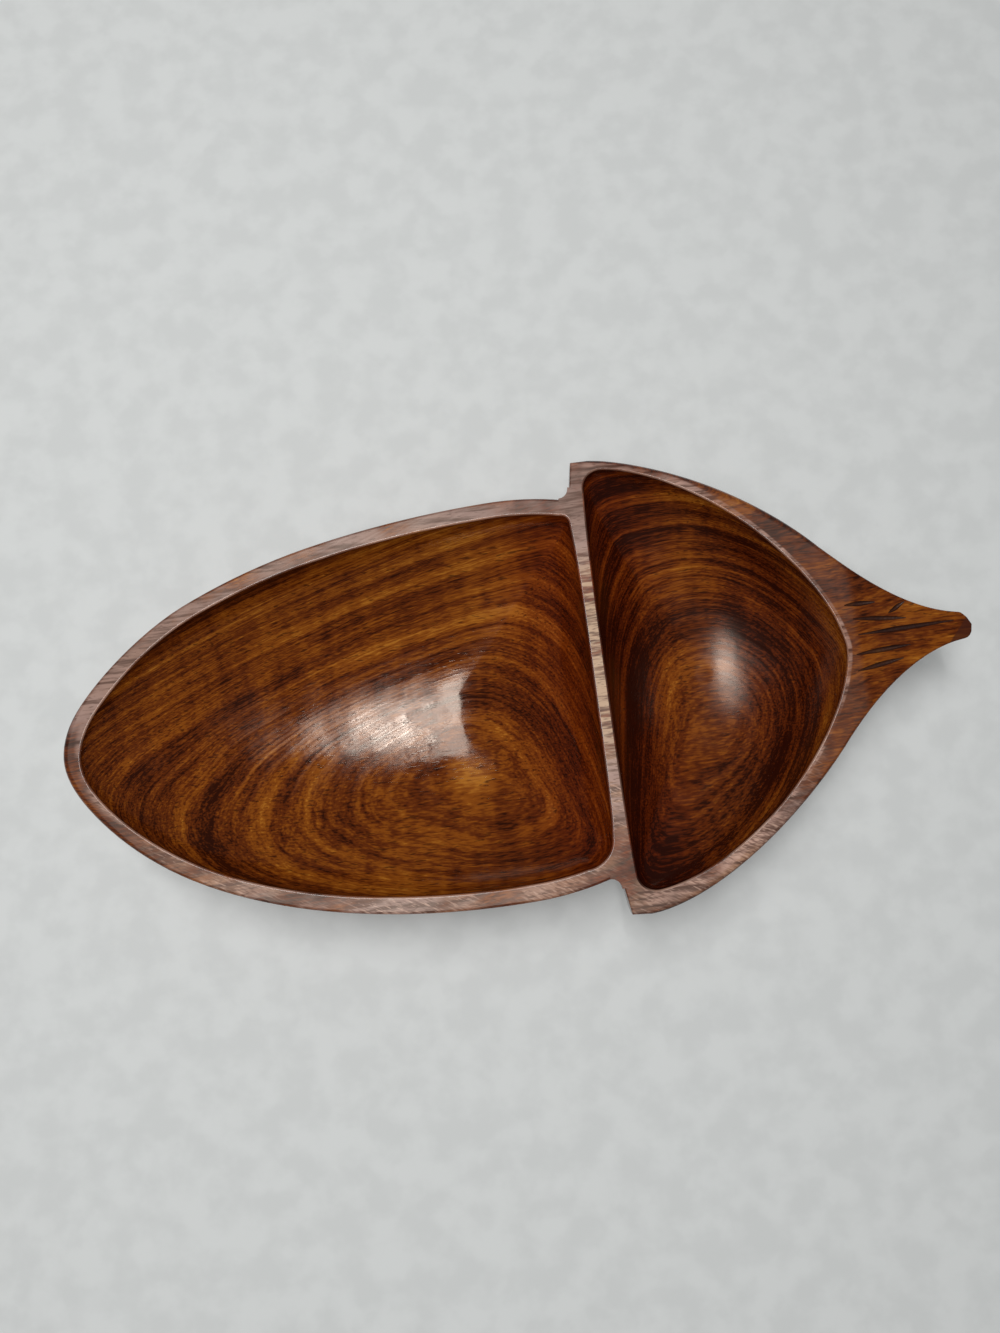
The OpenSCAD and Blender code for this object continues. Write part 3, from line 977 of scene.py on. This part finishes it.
def place_tones(n, axes, upper, end_wall):
    """How much lighter and how much darker the wood is from place to place, with painted shade
    among the darker
    """
    x, y, z = axes
    # Darker towards the cap, except on the stem's upper side, darker at the nut's tip and the
    # cap's end wall, and painted shade on the cap's wall just over the divider; lighter round the
    # rings, on the cap's floor, on the far wall and a little on the stem's upper side
    on_stem = n.times(upper, n.fade("stem", x))
    cap_side = n.times(
        n.fade("cap side along", x), n.inverse(on_stem), n.fade("cap side across", y)
    )
    shade_past_divider = n.times(n.fade("divider's foot", x), n.fade("painted shade past the divider", x))
    far_wall = n.times(n.fade("far wall along", x), n.fade("far wall across", y))
    cap_floor = n.times(n.fade("cap floor's height", z), n.fade("cap floor along", x))
    ring = n.fade("ring", n.distance(x, y, RING_CENTRE))
    lighter = n.total(ring, cap_floor, far_wall, n.times(on_stem, STEM_LIGHTER))
    tip = n.fade("nut's tip", x)
    darker = n.total(cap_side, shade_past_divider, tip, n.times(end_wall, END_WALL_DARKER))
    return lighter, darker


def figured_wood_group(look):
    """Growth layers, streaks, pores and curl of the wood, from the place in the block, with
    painted shade on the walls beside the divider
    """
    group = bpy.data.node_groups.new("Figured wood", "ShaderNodeTree")
    socket(group, "Place", "Vector", "INPUT")
    socket(group, "Tilt X", "Float", "INPUT", LAYER_TILT[0])
    socket(group, "Tilt Y", "Float", "INPUT", LAYER_TILT[1])
    for name in ("Dark", "Brown", "Golden", "Flame", "Red"):
        socket(group, name, "Color", "INPUT", rgba(getattr(look, name.lower())))
    socket(group, "Color", "Color", "OUTPUT")
    socket(group, "Roughness", "Float", "OUTPUT")
    socket(group, "Height", "Float", "OUTPUT")
    n = Nodes(group)
    given = n.add("NodeGroupInput").outputs
    place = given["Place"]
    x, y, z = axes = n.axes(place)

    layer = growth_layer(n, place, axes, (given["Tilt X"], given["Tilt Y"]))
    streaks = {}
    tones = []
    for table, through in ((FIGURES, layer), (FIBRES, z)):
        for name, (scales, detail, share) in table.items():
            streaks[name] = n.centred(n.stretched((x, y, through), scales, detail))
            tones.append(n.times(streaks[name], share))
    tones.append(n.times(n.centred(n.noise(place, *PATCHES)), PATCH_SHARE))
    upper = n.fade("upper side", z)
    end_wall = n.times(n.inverse(upper), n.fade("end wall", x))
    lighter, darker = place_tones(n, axes, upper, end_wall)
    tone = n.total(*tones, MIDDLE_TONE, lighter, n.times(darker, -1.0))

    low = n.blend(n.fade("dark to brown", tone), given["Dark"], given["Brown"])
    high = n.blend(n.fade("brown to golden", tone), low, given["Golden"])
    full = n.blend(n.fade("golden to flame", tone), high, given["Flame"])
    # Painted shade on the walls either side of the divider, darker and redder; the cap's end wall
    # takes the same red
    beside = n.fade("painted shade beside the divider", n.away(x, DIVIDER_X))
    shaded_and_reddened = n.maths("MAXIMUM", beside, n.times(end_wall, END_WALL_REDDER))
    red = n.blend(shaded_and_reddened, full, given["Red"], "MULTIPLY")
    pores = n.fade("pores", n.stretched(axes, *PORES))
    height = n.total(
        n.times(pores, PORE_HEIGHT),
        n.times(streaks["lines"], LINE_HEIGHT),
        n.times(streaks["curl"], CURL_HEIGHT),
    )

    out = n.add("NodeGroupOutput").inputs
    n.feed(out["Color"], n.blend(n.times(pores, PORE_DARKNESS), red, given["Dark"]))
    n.feed(out["Roughness"], n.fade("gloss of the lines", streaks["lines"]))
    n.feed(out["Height"], height)
    return group


def new_material(name):
    """An empty material with its shader, and the place on the object"""
    material = bpy.data.materials.new(name)
    material.use_nodes = True
    tree = material.node_tree
    tree.nodes.clear()
    n = Nodes(tree)
    shader = n.add("ShaderNodeBsdfPrincipled")
    out = n.add("ShaderNodeOutputMaterial")
    n.feed(out.inputs["Surface"], shader.outputs[0])
    return material, n, shader.inputs, n.add("ShaderNodeTexCoord").outputs["Object"]


def figured_wood(n, group, place):
    node = n.add("ShaderNodeGroup", node_tree=group)
    n.feed(node.inputs["Place"], place)
    return node.outputs


def sanding_and_sheen(n, x, y, form):
    """How pale the rim is from sandpaper and a painted sheen, and the painted sheen round the
    cap's hollow
    """
    s = form.s
    # The nut's rim is palest; towards the stem the sandpapered colour and its painted sheen fade
    # out, on the far side first
    sanded_sheen = n.fade("sanding along", n.total(x, n.fade("sanding across", y)))

    # The painted sheen round the cap's hollow is narrower towards the stem
    wide_x = form.hollow_wide_x
    reach = form.hollow_end_x - wide_x
    along = n.maths("DIVIDE", n.maths("ADD", x, form.half_length - wide_x), reach)
    across = n.maths("DIVIDE", n.maths("ADD", y, -s.cap_shift), form.hollow_y)
    powers = [n.maths("POWER", n.maths("ABSOLUTE", v), CAP_HOLLOW_POWER) for v in (along, across)]
    outside = n.maths("SUBTRACT", n.maths("POWER", n.total(*powers), 1 / CAP_HOLLOW_POWER), 1.0)
    outside = n.maths("DIVIDE", outside, n.fade("band's width", x))
    sheen_band = n.times(n.fade("band's start", x), n.fade("band's edge", outside))
    sanded_sheen = n.maths("MAXIMUM", sanded_sheen, sheen_band)

    # The rim's outer half round the near side of the nut's tip keeps the plain wood, without the
    # painted sheen
    outer = n.fade("bare outer half", n.distance(x, y, TIP_CENTRE))
    without_sheen = n.times(outer, n.fade("bare along", x), n.fade("bare across", y))
    return n.times(sanded_sheen, n.inverse(without_sheen)), sheen_band


def sanded_sheen_colour(n, place, axes, sheen_band):
    """Colour of the sandpapered rim with its painted sheen, with the marks and scratches in it"""
    x, y = axes[:2]
    near = n.fade("near side", y)
    hue = n.blend(n.fade("rim grey", n.noise(place, *RIM_GREY)), SANDED_SHEEN_WARM, SANDED_SHEEN_GREY)
    # The painted sheen is dimmer on the far side
    hue = n.blend(n.fade("far side", y), hue, SANDED_SHEEN_FAR)
    warm = n.times(near, n.fade("warm stretch's start", x), n.fade("warm stretch's end", x))
    hue = n.blend(warm, hue, WARM_STRETCH)
    # Painted sheen round the cap's hollow, paler still
    hue = n.blend(n.times(sheen_band, SHEEN_BAND_COVER), hue, SHEEN_BAND)
    pale = n.blend(n.fade("rim marks", n.stretched(axes, *RIM_MARKS)), RIM_MARK, hue)

    # Scratches from the sandpaper run aslant over the near side: the pale ones are painted
    # highlights, the dark ones painted shade
    slant = n.vector(n.along(x, y, SCRATCH_ALONG), n.along(x, y, SCRATCH_ACROSS), 0.0)
    scratches = n.noise(slant, *SCRATCHES)
    pale = n.blend(n.times(near, n.fade("lit scratches", scratches)), pale, LIT_SCRATCH)
    return n.blend(n.times(near, n.fade("shaded scratches", scratches)), pale, SHADED_SCRATCH)


def pale_divider_top(n, axes, rim, form):
    """Where the divider's top is paler, crossed by short dark pores, and its colour"""
    x, y = axes[:2]
    thick = form.s.divider
    off = n.away(x, form.shoulder_x - form.half_length + thick / 2)
    limits = [thick * share for share in DIVIDER_FACE_SHARES]
    inside = n.fade("divider's ends", n.away(y, DIVIDER_PALE_Y))
    crossed = n.fade("cross marks", n.stretched(axes, *CROSS_MARKS))
    weight = n.times(rim, inside, n.span(off, *limits, 1.0, 0.0), crossed, CROSS_MARK_COVER)
    golden = n.fade("divider's golden part", n.away(y, DIVIDER_GOLDEN_Y))
    return weight, n.blend(golden, DIVIDER_BEIGE, DIVIDER_GOLDEN)


def oiled_wood(group, form):
    """The bowl's own wood: glossy in the hollows, duller and paler on the flat rim from sandpaper
    and a painted sheen, with painted shade on the stem's end facet
    """
    material, n, shader, place = new_material("Oiled figured wood")
    wood = figured_wood(n, group, place)
    x, y, z = axes = n.axes(place)
    rim = n.span(z, *[form.s.height - depth for depth in RIM_DEPTHS])

    sanded_sheen, sheen_band = sanding_and_sheen(n, x, y, form)
    wear = n.fade("rim wear", n.noise(place, *RIM_WEAR))
    pale = sanded_sheen_colour(n, place, axes, sheen_band)
    # The rim takes its sandpapered colour with the painted sheen, in patches
    colour = n.blend(n.times(rim, sanded_sheen, wear), wood["Color"], pale)
    weight, beige = pale_divider_top(n, axes, rim, form)
    colour = n.blend(weight, colour, beige)
    # The stem's end is faceted across one corner, and painted shade makes it darker there
    facet = n.fade("facet", n.along(x, y, FACET_ACROSS))
    colour = n.blend(n.times(facet, FACET_SHADE_COVER), colour, FACET_SHADE)
    pores = n.times(rim, n.fade("rim pores", n.stretched(axes, *RIM_PORES)), RIM_PORE_COVER)
    n.feed(shader["Base Color"], n.blend(pores, colour, RIM_PORE))

    patches = n.fade("oil patches", n.noise(place, *OIL_PATCHES))
    softer = n.fade("softer cap", x)
    satin = n.fade("satin rim", rim)
    n.feed(shader["Roughness"], n.total(satin, softer, wood["Roughness"], patches))
    shader["Specular IOR Level"].default_value = WOOD_GLOSS
    shader["Specular Tint"].default_value = OIL_TINT
    uneven = n.total(
        n.times(n.noise(place, *HOLLOW_WAVES), WAVE_RISE),
        n.times(n.noise(place, *HOLLOW_DENTS), DENT_RISE),
    )
    height = n.total(n.times(wood["Height"], GRAIN_RISE), uneven)
    n.feed(shader["Normal"], n.bump(height, *OIL_BUMP))
    return material


def lip_highlight_wood(group):
    """Wood on the lips of the hollows, with a painted highlight in patches along their rounded
    edge
    """
    material, n, shader, place = new_material("Burnished lip")
    wood = figured_wood(n, group, place)
    off_divider = n.fade("lip off the divider", n.away(n.axes(place)[0], DIVIDER_X))
    lit_lip = n.times(n.fade("lip highlight patches", n.noise(place, *LIP_HIGHLIGHT_PATCHES)), off_divider)
    n.feed(shader["Base Color"], n.blend(lit_lip, wood["Color"], LIP_HIGHLIGHT))
    n.feed(shader["Roughness"], n.total(LIP_ROUGHNESS, wood["Roughness"]))
    n.feed(shader["Normal"], n.bump(n.noise(place, *LIP_SCUFFS), *LIP_BUMP))
    return material


def gouged_wood(group):
    """Wood inside the carved veins, darkened by painted shade in the grooves and rougher than
    round them
    """
    material, n, shader, place = new_material("Gouged wood")
    wood = figured_wood(n, group, place)
    n.feed(shader["Base Color"], n.blend(GOUGE_SHADE_COVER, wood["Color"], GOUGE_SHADE))
    n.feed(shader["Roughness"], n.total(GOUGE_ROUGHNESS, wood["Roughness"]))
    n.feed(shader["Normal"], n.bump(n.noise(place, *GOUGE_CHIPS), *GOUGE_BUMP))
    return material


def floor_material(look):
    """Plain pale floor with a faint unevenness"""
    material, n, shader, place = new_material("Pale floor")
    speckle = n.fade("floor speckle", n.noise(place, *FLOOR_SPECKLE))
    shade = rgba([c * FLOOR_SHADE for c in look.floor])
    n.feed(shader["Base Color"], n.blend(speckle, shade, rgba(look.floor)))
    shader["Roughness"].default_value = FLOOR_ROUGHNESS
    shader["Specular IOR Level"].default_value = FLOOR_GLOSS
    return material


class AcornBowlCarve(bpy.types.Operator):
    """Model the carved bowl with its two hollows, its divider and its stem"""

    bl_idname = "acorn_bowl.carve"
    bl_label = "Carve bowl"

    def execute(self, context):
        form = BowlForm(context.scene.acorn_bowl_sizes)
        half = form.half_length
        group = figured_wood_group(context.scene.acorn_wood_look)
        wood = oiled_wood(group, form)
        gouged = gouged_wood(group)
        lip_highlight_material = lip_highlight_wood(group)

        bowl = loft("carved_bowl", form.nut_rings(), half, wood)
        cap = loft("cap_body", form.cap_rings(), half, wood)
        sloping_stem(cap, form)
        combine(bowl, cap, "UNION")
        for side in (-1, 1):
            combine(bowl, loft("notch", form.notch_rings(side), half, wood), "UNION")
        for rings in (form.nut_hollow(), form.cap_hollow()):
            hollow = loft("hollow", rings, half, wood, lip_highlight_material)
            # The lip's faces take the material with the painted highlight
            for face in hollow.data.polygons:
                face.material_index = int(face.center.z > form.s.height - form.s.lip)
            combine(bowl, hollow, "DIFFERENCE")
        for shares in VEIN_SHARES:
            combine(bowl, loft("vein", form.vein_rings(shares), half, gouged), "DIFFERENCE")
        finish_surface(bowl)
        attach(bowl, "root")
        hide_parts("nut_bowl", "divider", "cap_bowl", "stem")
        return {"FINISHED"}


def soft_box(name, place, size, strength):
    """A rectangular soft light that shines straight down"""
    data = bpy.data.lights.new(name, "AREA")
    data.shape = "RECTANGLE"
    data.size, data.size_y = size
    data.energy = strength * size[0] * size[1] * math.pi
    light = bpy.data.objects.new(name, data)
    light.location = place
    bpy.context.scene.collection.objects.link(light)


class AcornBowlStage(bpy.types.Operator):
    """Place the plain floor, the soft lights and the camera"""

    bl_idname = "acorn_bowl.stage"
    bl_label = "Set stage"

    def execute(self, context):
        scene = context.scene
        look = scene.acorn_wood_look
        bpy.ops.object.select_all(action="DESELECT")
        bpy.ops.mesh.primitive_plane_add(size=FLOOR_SIZE)
        floor = context.object
        floor.name = "floor"
        floor.data.materials.append(floor_material(look))

        world = bpy.data.worlds.new("Soft room")
        world.use_nodes = True
        background = world.node_tree.nodes["Background"]
        background.inputs["Color"].default_value = ROOM_COLOUR
        background.inputs["Strength"].default_value = ROOM_STRENGTH
        scene.world = world

        for name, panel in PANELS.items():
            soft_box(name, *panel)

        data = bpy.data.cameras.new("camera")
        data.sensor_fit = "HORIZONTAL"
        data.angle = math.radians(CAMERA_ANGLE)
        data.clip_start = CAMERA_NEAREST
        camera = bpy.data.objects.new("camera", data)
        camera.location = CAMERA_PLACE
        aim = Vector(CAMERA_AIM) - camera.location
        camera.rotation_euler = aim.to_track_quat("-Z", "Y").to_euler()
        scene.collection.objects.link(camera)
        scene.camera = camera
        scene.view_settings.view_transform = "Standard"
        return {"FINISHED"}


class AcornBowlPanel(bpy.types.Panel):
    """Buttons that model the bowl and set the stage"""

    bl_idname = "VIEW3D_PT_acorn_bowl"
    bl_label = "Acorn bowl"
    bl_space_type = "VIEW_3D"
    bl_region_type = "UI"
    bl_category = "Acorn bowl"

    def draw(self, context):
        for operator in (AcornBowlCarve, AcornBowlStage):
            self.layout.operator(operator.bl_idname)


CLASSES = (AcornBowlSizes, AcornWoodLook, AcornBowlCarve, AcornBowlStage, AcornBowlPanel)


def register():
    for cls in CLASSES:
        bpy.utils.register_class(cls)
    bpy.types.Scene.acorn_bowl_sizes = PointerProperty(type=AcornBowlSizes)
    bpy.types.Scene.acorn_wood_look = PointerProperty(type=AcornWoodLook)


def unregister():
    del bpy.types.Scene.acorn_wood_look
    del bpy.types.Scene.acorn_bowl_sizes
    for cls in reversed(CLASSES):
        bpy.utils.unregister_class(cls)


def main():
    register()
    bpy.ops.acorn_bowl.carve()
    bpy.ops.acorn_bowl.stage()


if __name__ == "__main__":
    main()
